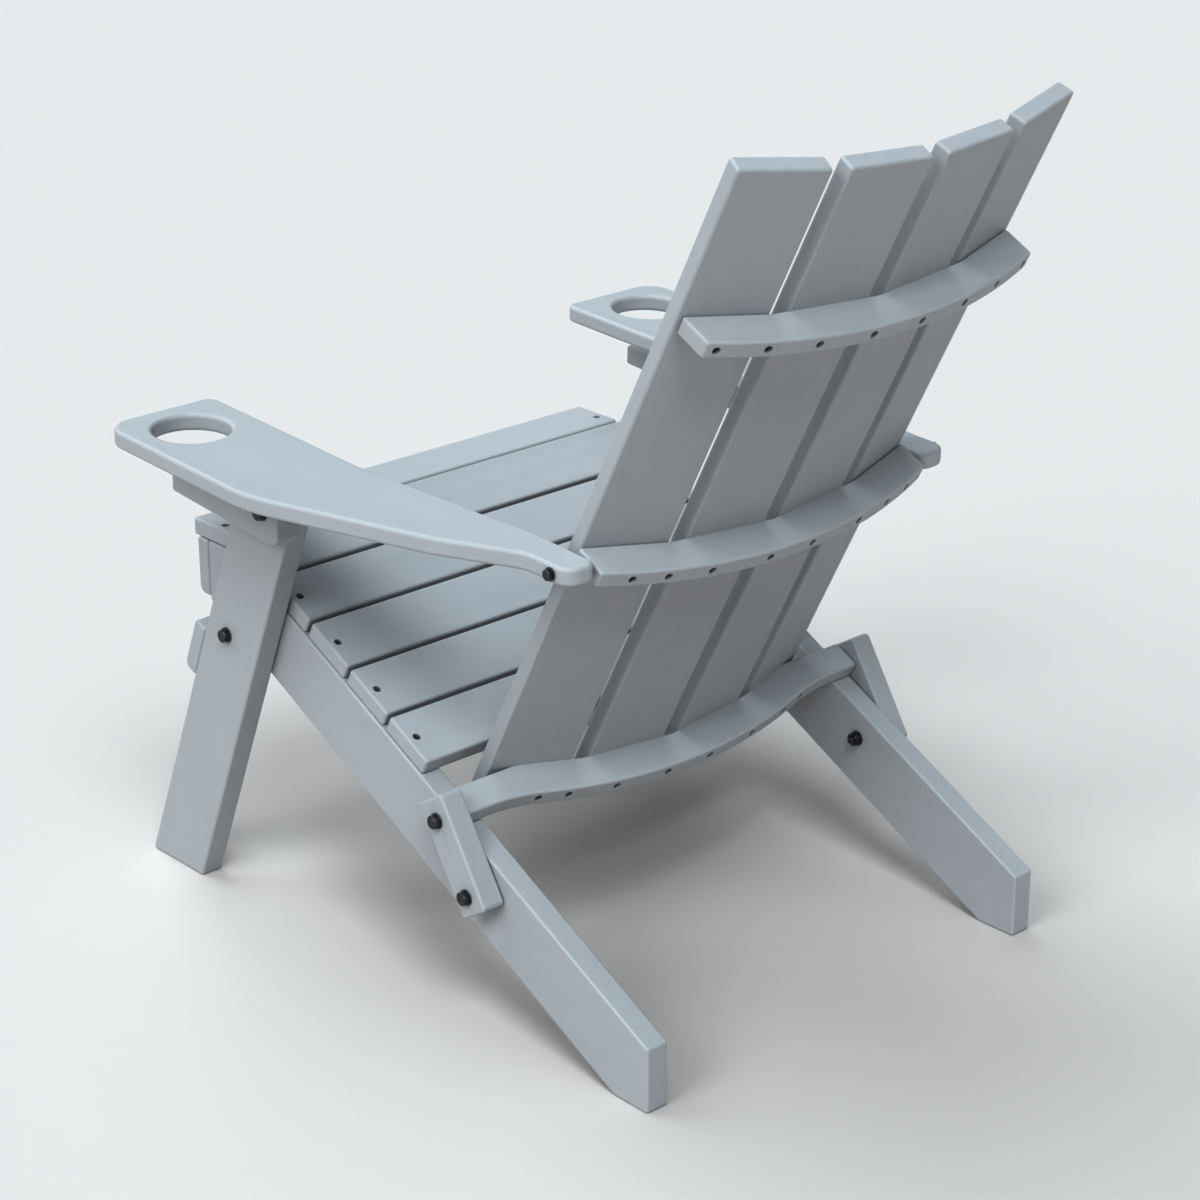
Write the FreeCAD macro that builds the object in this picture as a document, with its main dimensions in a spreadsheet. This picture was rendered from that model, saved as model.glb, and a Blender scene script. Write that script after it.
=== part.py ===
"""Folding adirondack chair: a parametric model in millimetres.

Frame: +X is the sitter's left, +Y is the rear, +Z is up.  The origin is on the ground,
in the middle of the chair's bounding box.

Two slanted frames carry most of the boards:
  seat frame   (x, w, t)  w runs down and rearward along the seat, t stands square on it,
                          so the back slats run along t
  arm frame    (x, v, h)  v runs rearward along the arm from its rear bolt, h is up from
                          the arm's mid-plane
"""
import FreeCAD, Part
import os
from math import asin, atan2, cos, degrees, radians, sin, sqrt, tan

import Sketcher
from FreeCAD import Placement, Rotation, Vector

doc = FreeCAD.newDocument("adirondack_chair")

# ---------------------------------------------------------------- driving dimensions
DIMENSIONS = [
    # boards
    ("frame_board", 25.0),        # stringers, legs, links, brackets
    ("slat_board", 18.0),         # slats, rails, arms, apron, stretcher
    ("corner_round", 3.0),
    ("edge_round", 2.5),
    ("bull_round", 9.0),          # lower front edge of the apron and the stretcher
    # side frames
    ("seat_slope", 26.8),         # degrees
    ("stringer_rear", 335.0),     # Y of the stringers' upright rear ends
    ("stringer_wide", 80.0),
    ("stringer_low", -20.7),      # t of the stringers' lower edge
    ("stringer_front", -651.5),   # Y from the rear ends to the front ends
    ("stringer_outer", 262.5),    # X of the outer faces
    ("front_height", 369.5),      # height of the level cut under the front slat
    ("apron_height", 60.0),
    ("side_gap", 1.0),            # between a stringer and the leg or link beside it
    # seat
    ("seat_slat_wide", 62.0),
    ("seat_slat_long", 521.0),
    ("seat_pitch", 66.7),
    ("second_slat_w", -683.6),    # w of the second slat's middle line
    ("front_slat_y", -646.5),     # Y of the front slat's middle line, from the rear ends
    # legs
    ("leg_lean", 22.4),           # degrees from upright
    ("leg_wide", 82.0),
    ("leg_foot_front", -744.7),   # Y of the foot's front corner, from the rear ends
    ("leg_top", 480.0),
    ("leg_crown", 17.0),          # rounded rear corner that turns under the arm
    ("stretcher_wide", 61.0),
    ("stretcher_top", 294.0),     # along the leg from the ground
    # back
    ("back_slat_wide", 92.0),
    ("back_slat_low", 40.0),      # t of the slats' lower ends
    ("back_slat_long", 756.0),
    ("centre_gap", 19.0),         # between the two inner slats
    ("inner_yaw", 5.5),           # degrees
    ("outer_yaw", 15.0),          # degrees
    ("facet_break", 107.5),       # X where the inner facet meets the outer one
    ("outer_slat_start", 119.0),  # X of the outer slat's inner rear edge
    ("rail_front", -318.0),       # w of the rails' front at the middle
    ("rail_deep", 34.0),
    ("rail_radius", 620.0),
    ("top_rail_half", 204.0),
    ("top_rail_t", 634.0),
    ("mid_rail_half", 210.5),
    ("mid_rail_t", 364.0),
    ("low_rail_half", 263.0),
    ("low_rail_lift", 0.4),       # clear of the stringers' top edges
    ("low_rail_end_front", -349.0),
    ("low_rail_end_rear", -316.5),
    ("low_rail_turn", 170.0),     # X where the rear arc turns into its reverse curve
    # arms
    ("arm_slope", 2.5),           # degrees
    ("arm_front", -527.5),        # v of the front edge
    ("arm_rear", 22.5),           # v of the rear edge
    ("arm_edge_round", 4.0),
    ("arm_inner", 235.0),
    ("arm_inner_round", 12.0),    # front inner corner
    ("arm_inner_bend_v", -285.0),
    ("arm_inner_bend", 300.0),    # radius
    ("arm_outer", 364.0),
    ("arm_outer_round", 28.0),    # front outer corner
    ("arm_outer_bend_v", -296.0),
    ("arm_outer_bend", 150.0),    # radius
    ("arm_waist", 292.0),         # X where the outer edge turns hollow
    ("arm_waist_v", -112.0),
    ("arm_waist_bend", 200.0),    # radius
    ("arm_seam", 211.0),          # X of the inner edge beside the back
    ("arm_seam_round", 12.0),     # rear inner corner
    ("arm_seam_v", -62.0),
    ("arm_seam_bend", 150.0),     # radius
    ("arm_tail", 247.5),          # X of the flat that takes the rear bolt
    ("arm_tail_round", 17.0),     # rear outer corner
    ("arm_tail_v", -34.0),
    ("arm_tail_bend", 45.0),      # radius
    ("cup_radius", 38.5),
    ("cup_rim", 4.5),             # rounding of the hole's edges
    ("cup_x", 302.0),
    ("cup_v", -466.7),
    ("bracket_high", 50.0),
    ("bracket_front", -413.0),    # v
    ("bracket_rear", -313.5),     # v
    ("bracket_cut", 8.0),         # lower rear corner cut off
    ("bracket_drop", 6.0),        # the rear end is this much deeper
    ("tongue_front", -485.5),     # v
    ("tongue_drop", 29.0),        # tongue's top below the arm
    # pivots, Y from the stringers' rear ends
    ("leg_pivot_y", -588.0),
    ("leg_pivot_z", 294.5),
    ("arm_pivot_y", -482.5),
    ("arm_pivot_z", 460.0),
    ("link_pivot_y", -220.0),
    ("link_pivot_z", 144.5),
    ("rail_pivot_w", -327.0),
    ("tail_pivot_t", 363.0),
    ("tail_pivot_w", -345.0),
    ("link_wide", 39.0),
    ("link_round", 5.0),
    ("link_low_end", 19.0),
    ("link_high_end", 22.0),
    # fasteners
    ("bolt_radius", 4.0),
    ("bolt_bore", 4.06),          # running fit
    ("bolt_across", 13.0),
    ("bolt_head", 5.3),
    ("bolt_nut", 6.5),
    ("washer_radius", 7.8),
    ("washer_thick", 1.6),
    ("wide_washer_radius", 12.5), # under the nut, over the leg's clearance hole
    ("open_bore", 6.8),           # leg's clearance hole at the arm bolt
    ("tail_bolt_radius", 3.0),
    ("tail_bolt_bore", 3.06),
    ("tail_bolt_across", 10.0),
    ("tail_bolt_head", 4.0),
    ("tail_washer_radius", 6.5),
    ("bolt_deep", 40.0),          # shank inside the low rail's ends
    ("tail_bolt_deep", 30.0),     # shank inside the middle rail's ends
    ("insert_radius", 6.0),
    ("insert_long", 20.0),
    ("tail_insert_radius", 4.5),
    ("face_gap", 0.25),           # between a turning board and a washer
    ("screw_radius", 2.2),
    ("screw_head_radius", 4.0),
    ("screw_head", 2.6),
    ("screw_crown", 0.8),         # rounded top of the head
    ("screw_point", 0.3),
    ("socket_across", 3.2),
    ("socket_deep", 1.6),
    ("seat_screw_long", 40.0),
    ("rail_screw_long", 44.0),
    ("bracket_screw_long", 50.0),
]

sheet = doc.addObject("Spreadsheet::Sheet", "Dims")
for row, (alias, value) in enumerate(DIMENSIONS, 1):
    sheet.set(f"A{row}", alias)
    sheet.set(f"B{row}", str(value))
    sheet.setAlias(f"B{row}", alias)
doc.recompute()


def size(alias):
    """The value of one cell of the sheet."""
    return float(sheet.get(alias))


def bind(feature, prop, alias):
    """Bind a property of a feature to a cell of the sheet."""
    feature.setExpression(prop, f"Dims.{alias}")


X_AXIS = Vector(1, 0, 0)
Y_AXIS = Vector(0, 1, 0)
Z_AXIS = Vector(0, 0, 1)
SIDES = {"left": 1, "right": -1}
FLAT = 1e-4                       # lengths below this count as nothing
FACET_NEAR = 1.0                  # an edge this close to the rails' facets lies on them

REAR = size("stringer_rear")
SLOPE = radians(size("seat_slope"))
BOARD = size("frame_board")
THIN = size("slat_board")
SEAT_TOP = size("stringer_low") + size("stringer_wide")     # t of the stringers' top edge
SIDE_INNER = size("stringer_outer") + size("side_gap")      # X of the legs' inner faces
SIDE_OUTER = SIDE_INNER + BOARD
BRACKET_INNER = SIDE_OUTER + size("side_gap")
BRACKET_OUTER = BRACKET_INNER + BOARD
STRINGER_OUTER = size("stringer_outer")
STRINGER_INNER = STRINGER_OUTER - BOARD
STRINGER_MIDDLE = STRINGER_OUTER - BOARD / 2
SIDE_MIDDLE = SIDE_INNER + BOARD / 2                        # X of the legs' and links' middles
BRACKET_MIDDLE = BRACKET_INNER + BOARD / 2
FACE_GAP = size("face_gap")
WASHER = size("washer_thick")

seat_frame = Placement(Vector(0, REAR, 0), Rotation(X_AXIS, -size("seat_slope")))


def seat_point(x, w, t):
    """Chair coordinates of a point given in the seat frame."""
    return seat_frame.multVec(Vector(x, w, t))


def seat_vector(x, w, t):
    """Chair direction of a direction given in the seat frame."""
    return seat_frame.Rotation.multVec(Vector(x, w, t))


# pivots in chair coordinates, at x = 0
LEG_PIVOT = Vector(0, REAR + size("leg_pivot_y"), size("leg_pivot_z"))
ARM_PIVOT = Vector(0, REAR + size("arm_pivot_y"), size("arm_pivot_z"))
LINK_PIVOT = Vector(0, REAR + size("link_pivot_y"), size("link_pivot_z"))
LOW_RAIL_T = SEAT_TOP + size("low_rail_lift")               # t of the low rail's underside
RAIL_PIVOT = seat_point(0, size("rail_pivot_w"), LOW_RAIL_T + THIN / 2)
TAIL_PIVOT = seat_point(0, size("tail_pivot_w"), size("tail_pivot_t"))
arm_frame = Placement(TAIL_PIVOT, Rotation(X_AXIS, -size("arm_slope")))

nodes = []


# ---------------------------------------------------------------- board helpers
def new_body(label, placement):
    """A body that becomes one node, standing at its place."""
    body = doc.addObject("PartDesign::Body", label)
    body.Label = label
    body.Placement = placement
    nodes.append(body)
    return body


def sketch_on(body, role):
    """A sketch on one of the body's own origin planes."""
    sketch = body.newObject("Sketcher::SketchObject", f"{body.Label}_sketch")
    plane = next(item for item in body.Origin.OriginFeatures if item.Role == role)
    sketch.AttachmentSupport = [(plane, "")]
    sketch.MapMode = "FlatFace"
    return sketch


def draw_outline(sketch, corners):
    """Draw a closed outline of straight sides whose corners (x, y, radius) are rounded."""
    ends = []
    arcs = []
    count = len(corners)
    for index, (x, y, radius) in enumerate(corners):
        corner = Vector(x, y, 0)
        before = Vector(*corners[index - 1][:2], 0) - corner
        after = Vector(*corners[(index + 1) % count][:2], 0) - corner
        before.normalize()
        after.normalize()
        half = before.getAngle(after) / 2
        reach = radius / tan(half)
        bisector = before + after
        bisector.normalize()
        centre = corner + bisector * (radius / sin(half))
        start = corner + before * reach
        stop = corner + after * reach
        middle = centre - bisector * radius
        ends.append((start, stop))
        arcs.append(Part.Arc(start, middle, stop))
    for index in range(count):
        sketch.addGeometry(arcs[index], False)
        stop = ends[index][1]
        start = ends[(index + 1) % count][0]
        if (start - stop).Length > FLAT:
            sketch.addGeometry(Part.LineSegment(stop, start), False)


def draw_rectangle(sketch, wide, long):
    """A rectangle about the sketch's origin, its sides bound to two cells."""
    half_x = size(wide) / 2
    half_y = size(long) / 2
    points = [Vector(-half_x, -half_y, 0), Vector(half_x, -half_y, 0),
              Vector(half_x, half_y, 0), Vector(-half_x, half_y, 0)]
    for index in range(4):
        sketch.addGeometry(Part.LineSegment(points[index], points[(index + 1) % 4]), False)
    for index in range(4):
        sketch.addConstraint(Sketcher.Constraint("Coincident", index, 2, (index + 1) % 4, 1))
    sketch.addConstraint(Sketcher.Constraint("Horizontal", 0))
    sketch.addConstraint(Sketcher.Constraint("Horizontal", 2))
    sketch.addConstraint(Sketcher.Constraint("Vertical", 1))
    sketch.addConstraint(Sketcher.Constraint("Vertical", 3))
    sketch.addConstraint(Sketcher.Constraint("Symmetric", 0, 1, 2, 1, -1, 1))
    across = sketch.addConstraint(Sketcher.Constraint("DistanceX", 0, 1, 0, 2, 2 * half_x))
    along = sketch.addConstraint(Sketcher.Constraint("DistanceY", 1, 1, 1, 2, 2 * half_y))
    sketch.setExpression(f"Constraints[{across}]", f"Dims.{wide}")
    sketch.setExpression(f"Constraints[{along}]", f"Dims.{long}")


def pad(body, sketch, length, midplane=False):
    """Pad a sketch by a length written as an expression of the sheet's cells."""
    feature = body.newObject("PartDesign::Pad", f"{body.Label}_pad")
    feature.Profile = sketch
    feature.Midplane = midplane
    feature.setExpression("Length", length)
    doc.recompute()
    return feature


def fillet(body, base, edges, alias):
    """Round the named edges of a feature."""
    feature = body.newObject("PartDesign::Fillet", f"{body.Label}_{alias}")
    feature.Base = (base, edges)
    bind(feature, "Radius", alias)
    doc.recompute()
    return feature


def pick_edges(feature, test):
    """Names of a feature's edges that pass a test of their bounding box."""
    return [f"Edge{number}" for number, edge in enumerate(feature.Shape.Edges, 1)
            if test(edge.BoundBox)]


def round_faces(body, feature, axis):
    """Round the edges of both end faces of a pad that runs along an axis."""
    edges = pick_edges(feature, lambda box: getattr(box, f"{axis}Length") < FLAT)
    return fillet(body, feature, edges, "edge_round")


def plank(label, placement, role, axis, wide, long):
    """A thin rectangular board with rounded corners and edges."""
    body = new_body(label, placement)
    sketch = sketch_on(body, role)
    draw_rectangle(sketch, wide, long)
    base = pad(body, sketch, "Dims.slat_board")
    upright = pick_edges(base, lambda box: getattr(box, f"{axis}Length") > FLAT)
    round_faces(body, fillet(body, base, upright, "corner_round"), axis)
    return body


def drill(body, point, direction, radius, depth):
    """Cut a round hole from a point in chair coordinates, its radius held in a cell."""
    cutter = body.newObject("PartDesign::SubtractiveCylinder", f"{body.Label}_hole")
    cutter.Placement = body.Placement.inverse() * Placement(point, Rotation(Z_AXIS, direction))
    bind(cutter, "Radius", radius)
    cutter.Height = depth
    return cutter


# ---------------------------------------------------------------- side frames and seat
def make_stringer(name, sign):
    """A straight sloping board, cut level at the ground and under the front slat."""
    slope_low = size("stringer_low")
    front = size("stringer_front")
    height = size("front_height")
    corner = size("corner_round")
    points = [
        (slope_low / sin(SLOPE), 0, corner),
        (0, 0, corner),
        (0, SEAT_TOP / cos(SLOPE), corner),
        ((SEAT_TOP - height * cos(SLOPE)) / sin(SLOPE), height, corner),
        (front, height, corner),
        (front, (slope_low - front * sin(SLOPE)) / cos(SLOPE), corner),
    ]
    place = Placement(Vector(sign * STRINGER_MIDDLE, REAR, 0), Rotation())
    body = new_body(f"stringer_{name}", place)
    sketch = sketch_on(body, "YZ_Plane")
    draw_outline(sketch, points)
    round_faces(body, pad(body, sketch, "Dims.frame_board", midplane=True), "X")
    return body


def bull_board(label, placement, wide, half_long):
    """A board across the chair, its lower front edge rounded more than the others.

    half_long is an expression of the sheet's cells.
    """
    corner = size("corner_round")
    high = size(wide)
    points = [(0, 0, corner), (0, high, corner), (-THIN, high, corner), (-THIN, 0, size("bull_round"))]
    body = new_body(label, placement)
    sketch = sketch_on(body, "YZ_Plane")
    draw_outline(sketch, points)
    round_faces(body, pad(body, sketch, f"2 * ({half_long})", midplane=True), "X")
    return body


stringers = {name: make_stringer(name, sign) for name, sign in SIDES.items()}

front_apron = bull_board(
    "front_apron",
    Placement(Vector(0, REAR + size("stringer_front"), size("front_height") - size("apron_height")),
              Rotation()),
    "apron_height", "Dims.stringer_outer")

SEAT_SLATS = 6
SEAT_SCREW_SINK = 4.0
FRONT_SCREW_BACK = 10.0           # the front screws stand behind the front slat's middle

seat_screws = []
for number in range(1, SEAT_SLATS + 1):
    if number == 1:
        place = Placement(Vector(0, REAR + size("front_slat_y"), size("front_height")), Rotation())
        screw_back = FRONT_SCREW_BACK
    else:
        slat_w = size("second_slat_w") + (number - 2) * size("seat_pitch")
        place = seat_frame * Placement(Vector(0, slat_w, SEAT_TOP), Rotation())
        screw_back = 0
    slat = plank(f"seat_slat_{number}", place, "XY_Plane", "Z", "seat_slat_long", "seat_slat_wide")
    direction = place.Rotation.multVec(Z_AXIS) * -1
    for name, sign in SIDES.items():
        point = place.multVec(Vector(sign * STRINGER_MIDDLE, screw_back, THIN))
        seat_screws.append((point, direction, [slat, stringers[name]]))

APRON_SCREW_HEIGHTS = (12.0, 28.0)
apron_screws = []
for name, sign in SIDES.items():
    for height in APRON_SCREW_HEIGHTS:
        point = front_apron.Placement.multVec(Vector(sign * STRINGER_MIDDLE, -THIN, height))
        apron_screws.append((point, Y_AXIS, [front_apron, stringers[name]]))


# ---------------------------------------------------------------- front legs
LEAN = radians(size("leg_lean"))


def make_leg(name, sign):
    """A leaning board with level ends, its top rear corner round so it can turn."""
    front = size("leg_foot_front")
    rear = front + size("leg_wide") / cos(LEAN)
    top = size("leg_top")
    corner = size("corner_round")
    points = [
        (front, 0, corner),
        (rear, 0, corner),
        (rear + top * tan(LEAN), top, size("leg_crown")),
        (front + top * tan(LEAN), top, corner),
    ]
    body = new_body(f"front_leg_{name}", Placement(Vector(sign * SIDE_MIDDLE, REAR, 0), Rotation()))
    sketch = sketch_on(body, "YZ_Plane")
    draw_outline(sketch, points)
    round_faces(body, pad(body, sketch, "Dims.frame_board", midplane=True), "X")
    return body


legs = {name: make_leg(name, sign) for name, sign in SIDES.items()}

leg_middle = REAR + size("leg_foot_front") + size("leg_wide") / cos(LEAN) / 2
leg_frame = Placement(Vector(0, leg_middle, 0), Rotation(X_AXIS, -size("leg_lean")))
stretcher_low = size("stretcher_top") - size("stretcher_wide")
leg_stretcher = bull_board(
    "leg_stretcher",
    leg_frame * Placement(Vector(0, -size("leg_wide") / 2, stretcher_low), Rotation()),
    "stretcher_wide", "Dims.stringer_outer + Dims.side_gap + Dims.frame_board")

STRETCHER_SCREW_HEIGHTS = (18.0, 44.0)
stretcher_screws = []
direction = leg_stretcher.Placement.Rotation.multVec(Y_AXIS)
for name, sign in SIDES.items():
    for height in STRETCHER_SCREW_HEIGHTS:
        point = leg_stretcher.Placement.multVec(Vector(sign * SIDE_MIDDLE, -THIN, height))
        stretcher_screws.append((point, direction, [leg_stretcher, legs[name]]))


# ---------------------------------------------------------------- side links
def make_link(name, sign):
    """The short board between a stringer's pivot and the low rail's end."""
    span = RAIL_PIVOT - LINK_PIVOT
    tilt = degrees(atan2(-span.y, span.z))
    half = size("link_wide") / 2
    low = -size("link_low_end")
    high = span.Length + size("link_high_end")
    corner = size("link_round")
    points = [(-half, low, corner), (half, low, corner), (half, high, corner), (-half, high, corner)]
    place = Placement(LINK_PIVOT + X_AXIS * (sign * SIDE_MIDDLE), Rotation(X_AXIS, tilt))
    body = new_body(f"side_link_{name}", place)
    sketch = sketch_on(body, "YZ_Plane")
    draw_outline(sketch, points)
    round_faces(body, pad(body, sketch, "Dims.frame_board", midplane=True), "X")
    return body


links = {name: make_link(name, sign) for name, sign in SIDES.items()}


# ---------------------------------------------------------------- back slats and rails
YAWS = {"inner": radians(size("inner_yaw")), "outer": radians(size("outer_yaw"))}
FACET_BREAK = size("facet_break")
RAIL_RADIUS = size("rail_radius")
RAIL_CENTRE_W = size("rail_front") + size("rail_deep") - RAIL_RADIUS    # centre of the rear arc


def face_w(x):
    """w of the slats' rear faces, which are the rails' front facets, at a distance x."""
    inner = tan(YAWS["inner"]) * min(abs(x), FACET_BREAK)
    outer = tan(YAWS["outer"]) * max(abs(x) - FACET_BREAK, 0)
    return size("rail_front") - inner - outer


def rear_arc_w(x):
    """w of the rails' rear face at a distance x."""
    return RAIL_CENTRE_W + sqrt(RAIL_RADIUS ** 2 - x ** 2)


half_wide = size("back_slat_wide") / 2
SLAT_X = {
    "inner": size("centre_gap") / 2 + half_wide * cos(YAWS["inner"]),
    "outer": size("outer_slat_start") + half_wide * cos(YAWS["outer"]),
}
SLAT_ORDER = [("outer", 1), ("inner", 1), ("inner", -1), ("outer", -1)]      # left to right

back_slats = {}
for number, (kind, sign) in enumerate(SLAT_ORDER, 1):
    middle = size("back_slat_low") + size("back_slat_long") / 2
    turn = Rotation(Z_AXIS, degrees(-sign * YAWS[kind]))
    place = seat_frame * Placement(Vector(sign * SLAT_X[kind], face_w(SLAT_X[kind]), middle), turn)
    back_slats[kind, sign] = plank(f"back_slat_{number}", place, "XZ_Plane", "Y",
                                   "back_slat_wide", "back_slat_long")


def mirrored(point):
    """The point on the other side of the chair's middle."""
    return Vector(-point.x, point.y, point.z)


def rail_end(half_long):
    """Edges of a plain rail's end, on the left, and the point where the rear arc stops."""
    front = Vector(half_long, face_w(half_long), 0)
    rear = Vector(half_long, rear_arc_w(half_long), 0)
    crease = Vector(FACET_BREAK, face_w(FACET_BREAK), 0)
    return [(crease, front), (front, rear)], rear


def long_rail_end(half_long):
    """The same for the low rail, whose ends swing forward and run straight to the links."""
    front_w = size("low_rail_end_front")
    rear_w = size("low_rail_end_rear")
    crease = Vector(FACET_BREAK, face_w(FACET_BREAK), 0)
    bend = Vector(FACET_BREAK + (crease.y - front_w) / tan(YAWS["outer"]), front_w, 0)
    front = Vector(half_long, front_w, 0)
    rear = Vector(half_long, rear_w, 0)
    turn = Vector(size("low_rail_turn"), rear_arc_w(size("low_rail_turn")), 0)
    angle = asin(turn.x / RAIL_RADIUS)
    reverse = (turn.y - rear_w) / (1 - cos(angle))                      # reverse curve's radius
    centre = Vector(turn.x + reverse * sin(angle), rear_w + reverse, 0)
    middle = centre - Vector(sin(angle / 2), cos(angle / 2), 0) * reverse
    stop = Vector(centre.x, rear_w, 0)
    return [(crease, bend), (bend, front), (front, rear), (rear, stop), (stop, middle, turn)], turn


def draw_rail(sketch, end_edges, arc_stop):
    """A rail's outline: facets in front for the slats, two equal ends and an arc behind."""
    start = Vector(0, face_w(0), 0)
    crease = Vector(FACET_BREAK, face_w(FACET_BREAK), 0)
    half = [(start, crease)] + end_edges
    for points in half + [tuple(mirrored(point) for point in edge) for edge in half]:
        edge = Part.Arc(*points) if len(points) == 3 else Part.LineSegment(*points)
        sketch.addGeometry(edge, False)
    crown = Vector(0, rear_arc_w(0), 0)
    sketch.addGeometry(Part.Arc(mirrored(arc_stop), crown, arc_stop), False)


def make_rail(label, low_t, half_long, make_end):
    """A curved rail, cut from a thin board, its rear and end edges rounded."""
    body = new_body(label, seat_frame * Placement(Vector(0, 0, low_t), Rotation()))
    sketch = sketch_on(body, "XY_Plane")
    end_edges, arc_stop = make_end(half_long)
    draw_rail(sketch, end_edges, arc_stop)
    base = pad(body, sketch, "Dims.slat_board")

    def is_end_corner(box):
        return box.ZLength > FLAT and max(box.XMax, -box.XMin) > half_long - FLAT

    base = fillet(body, base, pick_edges(base, is_end_corner), "corner_round")

    def is_rear_or_end(box):
        middle_x = (box.XMin + box.XMax) / 2
        middle_w = (box.YMin + box.YMax) / 2
        on_facet = abs(middle_w - face_w(middle_x)) < FACET_NEAR
        on_end_front = box.YLength < FLAT and abs(middle_w - size("low_rail_end_front")) < FLAT
        return box.ZLength < FLAT and not on_facet and not on_end_front

    fillet(body, base, pick_edges(base, is_rear_or_end), "edge_round")
    return body


back_rails = {
    "top": make_rail("back_rail_top", size("top_rail_t") - THIN / 2, size("top_rail_half"), rail_end),
    "middle": make_rail("back_rail_middle", size("mid_rail_t") - THIN / 2, size("mid_rail_half"),
                        rail_end),
    "bottom": make_rail("back_rail_bottom", LOW_RAIL_T, size("low_rail_half"), long_rail_end),
}

RAIL_SCREW_X = {
    "top": (27.0, 88.0, 135.0, 184.0),
    "middle": (24.0, 92.0, 133.0, 169.0),
    "bottom": (25.0, 88.0, 136.0, 168.0),
}
RAIL_SCREW_SINK = 6.0


def rail_screw(rail, x, sign):
    """One screw that runs square to a slat from the rail's rear face."""
    kind = "outer" if x > FACET_BREAK else "inner"
    run = Vector(sign * sin(YAWS[kind]), cos(YAWS[kind]), 0)
    front = Vector(sign * x, face_w(x) - RAIL_CENTRE_W, 0)              # from the arc's centre
    along = front.dot(run)
    out = sqrt(along ** 2 + RAIL_RADIUS ** 2 - front.Length ** 2) - along
    rear = front + run * out
    middle_t = seat_frame.inverse().multVec(rail.Placement.Base).z + THIN / 2
    point = seat_point(rear.x, rear.y + RAIL_CENTRE_W, middle_t)
    return point, seat_vector(-run.x, -run.y, 0), [rail, back_slats[kind, sign]]


rail_screws = {name: [rail_screw(back_rails[name], x, sign) for x in spots for sign in (1, -1)]
               for name, spots in RAIL_SCREW_X.items()}


# ---------------------------------------------------------------- arms and brackets
def make_arm(name, sign):
    """A broad board that narrows to the rear, with a round cup hole in front."""
    corners = [
        (size("arm_inner"), size("arm_front"), size("arm_inner_round")),
        (size("arm_outer"), size("arm_front"), size("arm_outer_round")),
        (size("arm_outer"), size("arm_outer_bend_v"), size("arm_outer_bend")),
        (size("arm_waist"), size("arm_waist_v"), size("arm_waist_bend")),
        (size("arm_tail"), size("arm_tail_v"), size("arm_tail_bend")),
        (size("arm_tail"), size("arm_rear"), size("arm_tail_round")),
        (size("arm_seam"), size("arm_rear"), size("arm_seam_round")),
        (size("arm_seam"), size("arm_seam_v"), size("arm_seam_bend")),
        (size("arm_inner"), size("arm_inner_bend_v"), size("arm_inner_bend")),
    ]
    body = new_body(f"arm_{name}", arm_frame)
    sketch = sketch_on(body, "XY_Plane")
    draw_outline(sketch, [(sign * x, v, radius) for x, v, radius in corners])
    cup = Part.Circle(Vector(sign * size("cup_x"), size("cup_v"), 0), Z_AXIS, size("cup_radius"))
    hole = sketch.addGeometry(cup, False)
    rim = sketch.addConstraint(Sketcher.Constraint("Radius", hole, size("cup_radius")))
    sketch.setExpression(f"Constraints[{rim}]", "Dims.cup_radius")
    board = pad(body, sketch, "Dims.slat_board", midplane=True)
    cup_wide = 2 * size("cup_radius")

    def is_rim(box):
        return box.ZLength < FLAT and abs(box.XLength - cup_wide) + abs(box.YLength - cup_wide) < FLAT

    def is_outline(box):
        return box.ZLength < FLAT and not is_rim(box)

    board = fillet(body, board, pick_edges(board, is_outline), "arm_edge_round")
    fillet(body, board, pick_edges(board, is_rim), "cup_rim")
    return body


def make_bracket(name, sign):
    """The board under an arm that the leg's top is bolted to, with a tongue in front."""
    top = -THIN / 2
    low = top - size("bracket_high")
    step = top - size("tongue_drop")
    rear_low = low - size("bracket_drop")
    cut = size("bracket_cut")
    corner = size("corner_round")
    points = [
        (size("tongue_front"), low, corner),
        (size("bracket_rear") - cut, rear_low, corner),
        (size("bracket_rear"), rear_low + cut, corner),
        (size("bracket_rear"), top, corner),
        (size("bracket_front"), top, corner),
        (size("bracket_front"), step, corner),
        (size("tongue_front"), step, corner),
    ]
    place = arm_frame * Placement(Vector(sign * BRACKET_MIDDLE, 0, 0), Rotation())
    body = new_body(f"arm_bracket_{name}", place)
    sketch = sketch_on(body, "YZ_Plane")
    draw_outline(sketch, points)
    round_faces(body, pad(body, sketch, "Dims.frame_board", midplane=True), "X")
    return body


arms = {name: make_arm(name, sign) for name, sign in SIDES.items()}
brackets = {name: make_bracket(name, sign) for name, sign in SIDES.items()}

BRACKET_SCREW_V = (-395.0, -327.0)
BRACKET_SCREW_SINK = 12.0
bracket_screws = {name: [] for name in SIDES}
bracket_low = -THIN / 2 - size("bracket_high")
direction = arm_frame.Rotation.multVec(Z_AXIS)
for name, sign in SIDES.items():
    for v in BRACKET_SCREW_V:
        point = arm_frame.multVec(Vector(sign * BRACKET_MIDDLE, v, bracket_low))
        bracket_screws[name].append((point, direction, [brackets[name], arms[name]]))


# ---------------------------------------------------------------- fasteners
HEX_CORNER = radians(60)
HEX_FACE = 0.4                    # a head's round face is this much narrower than its flats
TIP_SHARE = 0.2                   # a shank's tip is chamfered by this share of its radius


def hexagon(across, height):
    """A hexagonal prism on the XY plane with its upper corners turned off."""
    reach = across / 2 / cos(HEX_CORNER / 2)
    corners = [Vector(reach * cos(HEX_CORNER * k), reach * sin(HEX_CORNER * k), 0) for k in range(7)]
    prism = Part.Face(Part.makePolygon(corners)).extrude(Z_AXIS * height)
    face = across / 2 - HEX_FACE
    turned = Part.makeCone(face + height, face, height)
    return prism.common(turned).removeSplitter()


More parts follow.
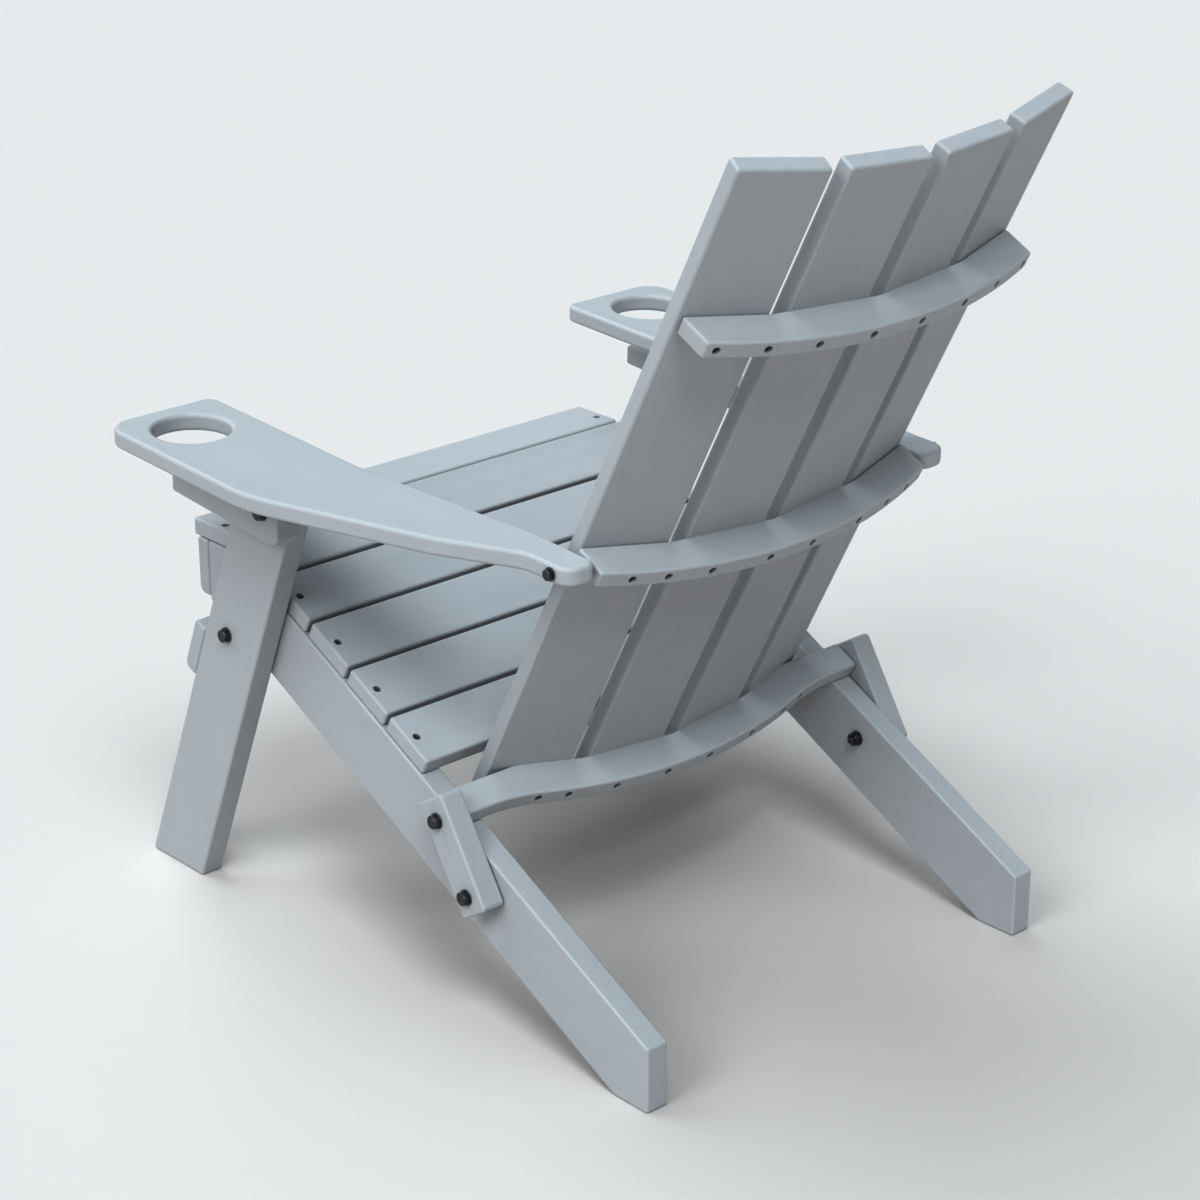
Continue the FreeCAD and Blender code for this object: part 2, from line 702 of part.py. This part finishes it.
def ring(outer, inner, height):
    """A flat ring on the XY plane."""
    return Part.makeCylinder(outer, height).cut(Part.makeCylinder(inner, height))


def bolt_shape(across, head, radius, long):
    """A hexagon bolt: the head stands up from the XY plane and the shank hangs below."""
    shank = Part.makeCylinder(radius, long, Vector(0, 0, -long), Z_AXIS)
    tip = [edge for edge in shank.Edges if abs(edge.BoundBox.ZMax + long) < FLAT]
    shank = shank.makeChamfer(radius * TIP_SHARE, tip)
    return hexagon(across, head).fuse(shank).removeSplitter()


def nut_shape(across, height, radius):
    """A hexagon nut on the XY plane."""
    return hexagon(across, height).cut(Part.makeCylinder(radius, height))


def screw_shape(long):
    """A pan-head screw with a hexagon socket: its head's underside is on the XY plane."""
    radius = size("screw_radius")
    head_high = size("screw_head")
    head = Part.makeCylinder(size("screw_head_radius"), head_high)
    crown = [edge for edge in head.Edges if edge.BoundBox.ZMin > head_high - FLAT]
    head = head.makeFillet(size("screw_crown"), crown)
    point_long = 2 * radius
    shank = Part.makeCylinder(radius, long - point_long, Vector(0, 0, point_long - long), Z_AXIS)
    point = Part.makeCone(size("screw_point"), radius, point_long, Vector(0, 0, -long), Z_AXIS)
    socket = hexagon(size("socket_across"), 2 * head_high)
    socket.translate(Vector(0, 0, head_high - size("socket_deep")))
    return head.fuse([shank, point]).removeSplitter().cut(socket)


def group(label, *kinds):
    """One node of fasteners: each kind is a shape and its spots, a point and a direction each."""
    copies = []
    for shape, spots in kinds:
        for point, direction in spots:
            copy = shape.copy()
            copy.Placement = Placement(point, Rotation(Z_AXIS, direction))
            copies.append(copy)
    node = doc.addObject("Part::Feature", label)
    node.Label = label
    node.Shape = Part.makeCompound(copies)
    nodes.append(node)


def fit_screws(label, screws, long, sink):
    """Drill for a set of screws, sink their heads and make their node.

    Each screw is a point on a board's face, a direction and the two boards it joins.
    """
    length = size(long)
    spots = []
    for point, direction, (outer, inner) in screws:
        seat = point + direction * sink
        start = point - direction * HOLE_SPARE
        drill(outer, start, direction, "screw_head_radius", sink + HOLE_SPARE)
        drill(outer, seat, direction, "screw_radius", length)
        drill(inner, seat, direction, "screw_radius", length)
        spots.append((seat, direction * -1))
    group(label, (screw_shape(length), spots))


HOLE_SPARE = 6.0                  # holes start this far outside a board
fit_screws("seat_screws", seat_screws, "seat_screw_long", SEAT_SCREW_SINK)
fit_screws("apron_screws", apron_screws, "seat_screw_long", SEAT_SCREW_SINK)
fit_screws("stretcher_screws", stretcher_screws, "seat_screw_long", SEAT_SCREW_SINK)
for rail_name, screws in rail_screws.items():
    fit_screws(f"{rail_name}_rail_screws", screws, "rail_screw_long", RAIL_SCREW_SINK)
for name, screws in bracket_screws.items():
    fit_screws(f"bracket_screws_{name}", screws, "bracket_screw_long", BRACKET_SCREW_SINK)

THREAD_SPARE = 3.0                # thread that stands out of a nut


def at_side(point, x, sign):
    """A point of a pivot's axis at a distance from the chair's middle."""
    return Vector(sign * x, point.y, point.z)


def bore(board, pivot, sign, inner_x, outer_x, radius):
    """A hole through one board along a pivot's axis."""
    start = at_side(pivot, inner_x - HOLE_SPARE, sign)
    drill(board, start, X_AXIS * sign, radius, outer_x - inner_x + 2 * HOLE_SPARE)


def through_bolts(kind, pivot, head_x, nut_x, nut_washer, sides):
    """Hexagon bolts across the chair, with a washer under each head and each nut.

    head_x is the face under the head's washer, nut_x the face under the nut's washer,
    and nut_washer names the cell of that washer's radius.
    """
    across = size("bolt_across")
    radius = size("bolt_radius")
    nut_high = size("bolt_nut")
    long = head_x + WASHER - nut_x + WASHER + nut_high + THREAD_SPARE
    outward = [(sign, X_AXIS * sign) for sign in sides.values()]
    heads = [(at_side(pivot, head_x + WASHER, sign), out) for sign, out in outward]
    head_washers = [(at_side(pivot, head_x, sign), out) for sign, out in outward]
    nut_washers = [(at_side(pivot, nut_x, sign), out * -1) for sign, out in outward]
    nuts = [(at_side(pivot, nut_x - WASHER, sign), out * -1) for sign, out in outward]
    plural, side = ("s", "") if len(sides) > 1 else ("", f"_{next(iter(sides))}")
    group(f"{kind}_bolt{plural}{side}", (bolt_shape(across, size("bolt_head"), radius, long), heads))
    group(f"{kind}_washers{side}",
          (ring(size("washer_radius"), radius, WASHER), head_washers),
          (ring(size(nut_washer), radius, WASHER), nut_washers))
    group(f"{kind}_nut{plural}{side}", (nut_shape(across, nut_high, radius), nuts))


def rail_bolts(kind, pivot, rail, face_x, end_x, prefix):
    """Hexagon bolts into a rail's two ends, each with a washer and a threaded insert.

    face_x is the face under the washer, end_x the rail's end, and prefix chooses the
    cells of the bolt's size.
    """
    radius_cell = f"{prefix}bolt_radius"
    insert_cell = f"{prefix}insert_radius"
    radius = size(radius_cell)
    deep = size(f"{prefix}bolt_deep")
    insert_long = size("insert_long")
    heads = []
    washers = []
    inserts = []
    for sign in SIDES.values():
        out = X_AXIS * sign
        heads.append((at_side(pivot, face_x + WASHER, sign), out))
        washers.append((at_side(pivot, face_x, sign), out))
        inserts.append((at_side(pivot, end_x - insert_long, sign), out))
        start = at_side(pivot, end_x + HOLE_SPARE, sign)
        drill(rail, start, out * -1, insert_cell, insert_long + HOLE_SPARE)
        drill(rail, start, out * -1, radius_cell, deep + HOLE_SPARE)
    bolt = bolt_shape(size(f"{prefix}bolt_across"), size(f"{prefix}bolt_head"), radius,
                      face_x + WASHER - end_x + deep)
    group(f"{kind}_bolts", (bolt, heads))
    group(f"{kind}_washers", (ring(size(f"{prefix}washer_radius"), radius, WASHER), washers))
    group(f"{kind}_inserts", (ring(size(insert_cell), radius, insert_long), inserts))


SIDE_BORES = [
    (stringers, LEG_PIVOT, STRINGER_INNER, STRINGER_OUTER, "bolt_radius"),
    (stringers, LINK_PIVOT, STRINGER_INNER, STRINGER_OUTER, "bolt_radius"),
    (legs, LEG_PIVOT, SIDE_INNER, SIDE_OUTER, "bolt_bore"),
    (legs, ARM_PIVOT, SIDE_INNER, SIDE_OUTER, "open_bore"),
    (links, LINK_PIVOT, SIDE_INNER, SIDE_OUTER, "bolt_bore"),
    (links, RAIL_PIVOT, SIDE_INNER, SIDE_OUTER, "bolt_bore"),
    (brackets, ARM_PIVOT, BRACKET_INNER, BRACKET_OUTER, "bolt_radius"),
    (arms, TAIL_PIVOT, size("arm_seam"), size("arm_tail"), "tail_bolt_bore"),
]
for boards, pivot, inner_x, outer_x, radius in SIDE_BORES:
    for name, sign in SIDES.items():
        bore(boards[name], pivot, sign, inner_x, outer_x, radius)

outer_face = SIDE_OUTER + FACE_GAP
through_bolts("leg_pivot", LEG_PIVOT, outer_face, STRINGER_INNER, "washer_radius", SIDES)
through_bolts("link_pivot", LINK_PIVOT, outer_face, STRINGER_INNER, "washer_radius", SIDES)
for name, sign in SIDES.items():
    through_bolts("arm_leg", ARM_PIVOT, BRACKET_OUTER, SIDE_INNER - FACE_GAP, "wide_washer_radius",
                  {name: sign})
rail_bolts("link_rail", RAIL_PIVOT, back_rails["bottom"], outer_face, size("low_rail_half"), "")
rail_bolts("arm_rail", TAIL_PIVOT, back_rails["middle"], size("arm_tail") + FACE_GAP,
           size("mid_rail_half"), "tail_")

doc.recompute()

# ---------------------------------------------------------------- checks and output
for item in doc.Objects:
    if "Invalid" in item.State or "Error" in item.State:
        raise SystemExit(f"{item.Label} failed: {item.State}")
whole = FreeCAD.BoundBox()
for node in nodes:
    if node.Shape.isNull() or not node.Shape.isValid():
        raise SystemExit(f"{node.Label} has no valid shape")
    whole.add(node.Shape.optimalBoundingBox())
print(f"{len(nodes)} nodes, {whole.XLength:.1f} x {whole.YLength:.1f} x {whole.ZLength:.1f} mm")
print(f"middle {whole.Center.x:.2f}, {whole.Center.y:.2f}, lowest {whole.ZMin:.3f}")

os.makedirs("parts", exist_ok=True)
for node in nodes:
    node.Shape.exportStep(f"parts/{node.Label}.step")
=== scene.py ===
import math

import bpy
from mathutils import Matrix, Vector

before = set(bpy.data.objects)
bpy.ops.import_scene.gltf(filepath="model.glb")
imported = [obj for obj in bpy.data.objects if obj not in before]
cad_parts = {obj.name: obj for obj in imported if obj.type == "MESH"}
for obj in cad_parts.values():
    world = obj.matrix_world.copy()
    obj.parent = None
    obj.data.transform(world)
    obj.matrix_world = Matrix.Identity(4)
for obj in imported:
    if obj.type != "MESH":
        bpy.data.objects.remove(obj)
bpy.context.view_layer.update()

UP = Vector((0, 0, 1))


# ---------------------------------------------------------------- node helpers
class Shader:
    """A node material under construction, with short calls for the nodes it uses."""

    def __init__(self, name):
        self.material = bpy.data.materials.new(name)
        self.material.use_nodes = True
        self.tree = self.material.node_tree
        self.nodes = self.tree.nodes
        self.nodes.clear()
        self.output = self.nodes.new("ShaderNodeOutputMaterial")
        self.surface = self.nodes.new("ShaderNodeBsdfPrincipled")
        self.link(self.surface, "BSDF", self.output, "Surface")

    def link(self, start, output, end, socket):
        self.tree.links.new(start.outputs[output], end.inputs[socket])

    def node(self, kind, **values):
        """A node whose named sockets are set; underscores in a name stand for spaces."""
        made = self.nodes.new(f"ShaderNode{kind}")
        for key, value in values.items():
            made.inputs[key.replace("_", " ")].default_value = value
        return made

    def coordinates(self, turn=(0, 0, 0), scale=(1, 1, 1)):
        """Object coordinates, turned to a board's own axes and stretched along its grain."""
        source = self.node("TexCoord")
        mapping = self.node("Mapping", Rotation=turn, Scale=scale)
        self.link(source, "Object", mapping, "Vector")
        return mapping

    def noise(self, mapping, scale, detail, roughness=0.5):
        """Noise over some coordinates; scale is in cells for each metre."""
        made = self.node("TexNoise", Scale=scale, Detail=detail, Roughness=roughness)
        self.link(mapping, "Vector", made, "Vector")
        return made

    def ramp(self, noise, stops):
        """Noise turned into colours by two stops, each a position and a colour."""
        made = self.node("ValToRGB")
        for element, (position, colour) in zip(made.color_ramp.elements, stops):
            element.position = position
            element.color = (*colour, 1)
        self.link(noise, "Fac", made, "Fac")
        return made

    def multiply(self, first, second):
        """The product of two ramps' colours."""
        made = self.node("Mix")
        made.data_type = "RGBA"
        made.blend_type = "MULTIPLY"
        made.inputs["Factor"].default_value = 1.0
        self.link(first, "Color", made, "A")
        self.link(second, "Color", made, "B")
        return made

    def roughen(self, noise, low, high):
        """Set the surface's roughness between two values."""
        made = self.node("MapRange", To_Min=low, To_Max=high)
        self.link(noise, "Fac", made, "Value")
        self.link(made, "Result", self.surface, "Roughness")

    def bump(self, noise, strength, distance, below=None):
        """Noise as a bump of a strength and a depth in metres, on top of another bump if given."""
        made = self.node("Bump", Strength=strength, Distance=distance)
        self.link(noise, "Fac", made, "Height")
        if below is not None:
            self.link(below, "Normal", made, "Normal")
        return made


# ---------------------------------------------------------------- plastic boards
CLOUDS = {"scale": 3.0, "detail": 2.0}      # slow changes of tint over a board
STREAKS = {"scale": 90.0, "detail": 4.0}    # lines drawn along the grain
TOOTH = {"scale": 1400.0, "detail": 2.0, "roughness": 0.6}
CLOUD_STOPS = [(0.3, (0.455, 0.457, 0.465)), (0.7, (0.47, 0.472, 0.48))]
STREAK_STOPS = [(0.35, (0.975, 0.975, 0.975)), (0.65, (1, 1, 1))]
BOARD_ROUGHNESS = (0.50, 0.62)
TOOTH_BUMP = (0.10, 0.0004)
STREAK_BUMP = (0.12, 0.0008)

SEAT_SLOPE = math.radians(26.8)     # also the back's lean, because the back is square to the seat
LEG_LEAN = math.radians(22.4)
LINK_LEAN = -LEG_LEAN
ARM_SLOPE = math.radians(2.5)
GRAIN_STRETCH = 0.06
ALONG_X = (GRAIN_STRETCH, 1, 1)
ALONG_Y = (1, GRAIN_STRETCH, 1)
ALONG_Z = (1, 1, GRAIN_STRETCH)

# Each kind of board: how far it leans about X, and its grain's direction in its own axes.
BOARD_KINDS = {
    "cross": (SEAT_SLOPE, ALONG_X),
    "stringer": (SEAT_SLOPE, ALONG_Y),
    "back": (SEAT_SLOPE, ALONG_Z),
    "leg": (LEG_LEAN, ALONG_Z),
    "arm": (ARM_SLOPE, ALONG_Y),
    "link": (LINK_LEAN, ALONG_Z),
}


def plastic_lumber(name, lean, grain_scale):
    """Satin white plastic board: faint streaks drawn along the grain, and a fine matte tooth."""
    shader = Shader(name)
    turn = (lean, 0, 0)
    board = shader.coordinates(turn=turn)
    grain = shader.coordinates(turn=turn, scale=grain_scale)
    clouds = shader.noise(board, **CLOUDS)
    streaks = shader.noise(grain, **STREAKS)
    tooth = shader.noise(board, **TOOTH)
    tint = shader.ramp(clouds, CLOUD_STOPS)
    shade = shader.ramp(streaks, STREAK_STOPS)
    shader.link(shader.multiply(tint, shade), "Result", shader.surface, "Base Color")
    shader.roughen(streaks, *BOARD_ROUGHNESS)
    fine = shader.bump(tooth, *TOOTH_BUMP)
    drawn = shader.bump(streaks, *STREAK_BUMP, below=fine)
    shader.link(drawn, "Normal", shader.surface, "Normal")
    return shader.material


# ---------------------------------------------------------------- steel fasteners
SPOTS = {"scale": 260.0, "detail": 4.0}
SPOT_STOPS = (0.3, 0.7)         # where the noise is darkest, and where it is the full colour
SPOT_SHADE = 0.55               # the darkest spots' share of the full colour
METALLIC = 0.9
SMOOTHER, ROUGHER = 0.08, 0.12  # how far the roughness strays from its stated value

# Each steel: its colour and its roughness.
STEELS = {
    "dark_steel": ((0.17, 0.17, 0.175), 0.34),
    "washer_steel": ((0.26, 0.26, 0.27), 0.40),
    "screw_steel": ((0.34, 0.34, 0.35), 0.36),
}


def metal(name, colour, roughness):
    """Darkened steel with an uneven tone."""
    shader = Shader(name)
    spots = shader.noise(shader.coordinates(), **SPOTS)
    dark = tuple(SPOT_SHADE * part for part in colour)
    tone = shader.ramp(spots, zip(SPOT_STOPS, (dark, colour)))
    shader.link(tone, "Color", shader.surface, "Base Color")
    shader.surface.inputs["Metallic"].default_value = METALLIC
    shader.roughen(spots, roughness - SMOOTHER, roughness + ROUGHER)
    return shader.material


# ---------------------------------------------------------------- dressing the CAD nodes
# A word in a fastener node's name, and its steel.
STEEL_OF = [("screws", "screw_steel"), ("washers", "washer_steel"), ("bolt", "dark_steel"),
            ("nut", "dark_steel"), ("insert", "dark_steel")]

# The start of a board node's name, and its kind.
KIND_OF = [("seat_slat", "cross"), ("front_apron", "cross"), ("leg_stretcher", "cross"),
           ("back_rail", "cross"), ("back_slat", "back"), ("stringer", "stringer"),
           ("front_leg", "leg"), ("side_link", "link"), ("arm", "arm")]


def dress(piece, material):
    """Give a piece one material."""
    piece.data.materials.clear()
    piece.data.materials.append(material)


def material_name(node):
    """The name of the material that a CAD node shows."""
    for word, steel in STEEL_OF:
        if word in node:
            return steel
    return next(f"plastic_{kind}" for start, kind in KIND_OF if node.startswith(start))


materials = {}
for kind, (lean, grain_scale) in BOARD_KINDS.items():
    materials[f"plastic_{kind}"] = plastic_lumber(f"plastic_{kind}", lean, grain_scale)
for steel, (colour, roughness) in STEELS.items():
    materials[steel] = metal(steel, colour, roughness)
for name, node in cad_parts.items():
    dress(node, materials[material_name(name)])


# ---------------------------------------------------------------- floor and light
FLOOR_HALF = 30.0               # metres, wide enough to meet the dome at its horizon
FLOOR_COLOUR = (0.62, 0.575, 0.55)
FLOOR_ROUGHNESS = 0.9

# The dome: the height on the unit sphere, the colour and the strength of its two ends.
HORIZON = (0.08, (0.97, 0.99, 1.0), 0.80)
ZENITH = (0.30, (0.84, 0.93, 1.0), 0.30)

# Each sun: its name, the direction it shines along, its strength, its disc in degrees, its colour.
SUNS = [
    ("rear", (-0.33, -0.53, -0.78), 1.9, 26, (0.86, 0.95, 1.0)),
    ("front", (-0.05, 0.60, -0.80), 1.9, 60, (0.86, 0.95, 1.0)),
    ("side", (-0.80, -0.08, -0.60), 1.2, 30, (0.90, 0.96, 1.0)),
]


def show(name, data):
    """A new object in the scene."""
    made = bpy.data.objects.new(name, data)
    bpy.context.scene.collection.objects.link(made)
    return made


def make_floor():
    """A wide pale floor that the chair stands on."""
    mesh = bpy.data.meshes.new("floor")
    corners = [(x * FLOOR_HALF, y * FLOOR_HALF, 0) for x, y in ((-1, -1), (1, -1), (1, 1), (-1, 1))]
    mesh.from_pydata(corners, [], [(0, 1, 2, 3)])
    floor = show("floor", mesh)
    shader = Shader("floor_paint")
    shader.surface.inputs["Base Color"].default_value = (*FLOOR_COLOUR, 1)
    shader.surface.inputs["Roughness"].default_value = FLOOR_ROUGHNESS
    dress(floor, shader.material)


def make_world():
    """A plain studio dome, paler at the horizon than overhead."""
    world = bpy.data.worlds.new("studio")
    bpy.context.scene.world = world
    world.use_nodes = True
    nodes = world.node_tree.nodes
    links = world.node_tree.links
    direction = nodes.new("ShaderNodeTexCoord")
    parts = nodes.new("ShaderNodeSeparateXYZ")
    ramp = nodes.new("ShaderNodeValToRGB")
    links.new(direction.outputs["Generated"], parts.inputs["Vector"])
    links.new(parts.outputs["Z"], ramp.inputs["Fac"])
    links.new(ramp.outputs["Color"], nodes["Background"].inputs["Color"])
    for element, (height, colour, strength) in zip(ramp.color_ramp.elements, (HORIZON, ZENITH)):
        element.position = height
        element.color = (*(strength * part for part in colour), 1)


def make_sun(name, toward, strength, spread, colour):
    """A soft far light that shines along a direction; its disc is spread degrees wide."""
    light = bpy.data.lights.new(name, "SUN")
    light.energy = strength
    light.angle = math.radians(spread)
    light.color = colour
    show(name, light).rotation_euler = Vector(toward).to_track_quat("-Z", "Y").to_euler()


# ---------------------------------------------------------------- camera
CAMERA_HEADING = math.radians(-131.897)     # from +X towards +Y
CAMERA_PITCH = math.radians(22.25)          # downwards
CAMERA_ROLL = math.radians(0.116)
CAMERA_PLACE = Vector((1.8898, 2.0785, 1.4773))
CAMERA_LENS = 91.84
SENSOR_WIDTH = 36.0
CAMERA_SHIFT = (0.0049, 0.0009)
EXPOSURE = 0.10
GAMMA = 0.60


def make_camera():
    """A long lens that looks down on the chair from behind its left side."""
    flat = math.cos(CAMERA_PITCH)
    look = Vector((math.cos(CAMERA_HEADING) * flat, math.sin(CAMERA_HEADING) * flat,
                   -math.sin(CAMERA_PITCH)))
    right = look.cross(UP).normalized()
    up = right.cross(look)
    turn = Matrix((right, up, -look)).transposed().to_4x4()
    roll = Matrix.Rotation(-CAMERA_ROLL, 4, "Z")
    camera = show("camera", bpy.data.cameras.new("camera"))
    camera.data.sensor_width = SENSOR_WIDTH
    camera.data.lens = CAMERA_LENS
    camera.data.shift_x, camera.data.shift_y = CAMERA_SHIFT
    camera.matrix_world = Matrix.Translation(CAMERA_PLACE) @ turn @ roll
    bpy.context.scene.camera = camera


make_floor()
make_world()
for sun in SUNS:
    make_sun(*sun)
make_camera()
view = bpy.context.scene.view_settings
view.view_transform = "Standard"
view.exposure = EXPOSURE
view.gamma = GAMMA
